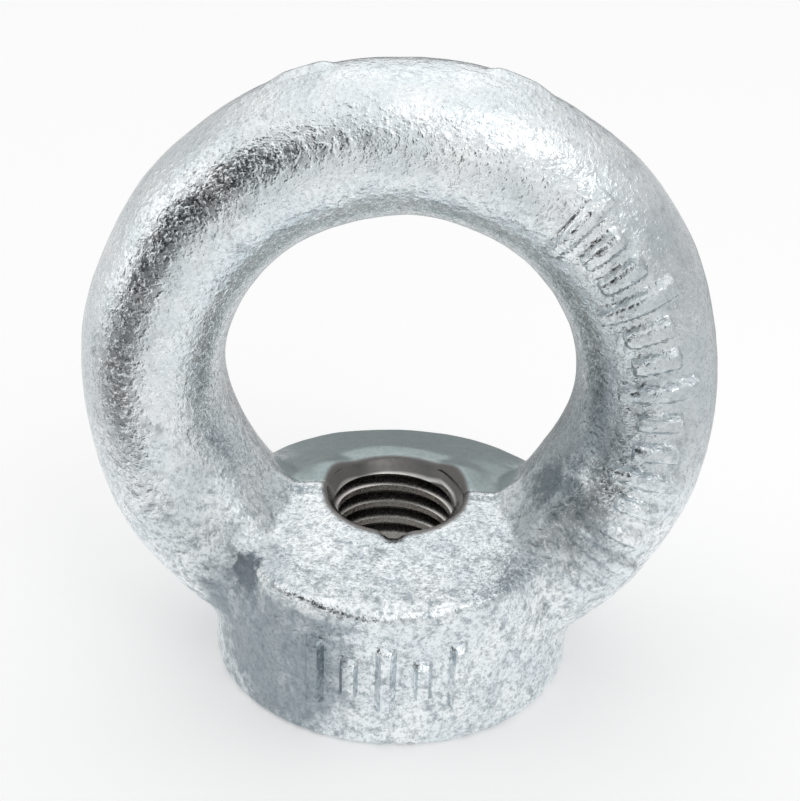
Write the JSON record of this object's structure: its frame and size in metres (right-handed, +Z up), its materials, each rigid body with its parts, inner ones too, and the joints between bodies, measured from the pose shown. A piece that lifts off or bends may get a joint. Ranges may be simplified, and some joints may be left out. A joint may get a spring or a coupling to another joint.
{
  "type": "lifting eye nut",
  "caption": "Forged lifting eye nut: a closed ring on a short round collar, threaded through from the flat seat, for bolting down onto a stud.",
  "frame": {"origin": "centre of the flat seat under the collar, on the thread's axis", "axes": "+Z up along the thread's axis from the seat through the ring; the ring lies in the XZ plane and is looked through along Y"},
  "size_m": [0.054, 0.0324, 0.053],
  "materials": {
    "galvanised_steel": "hot-dip galvanised zinc over forged steel, grainy and semi-bright"
  },
  "bodies": {
    "root": {"eye_nut": "galvanised_steel"}
  },
  "joints": []
}
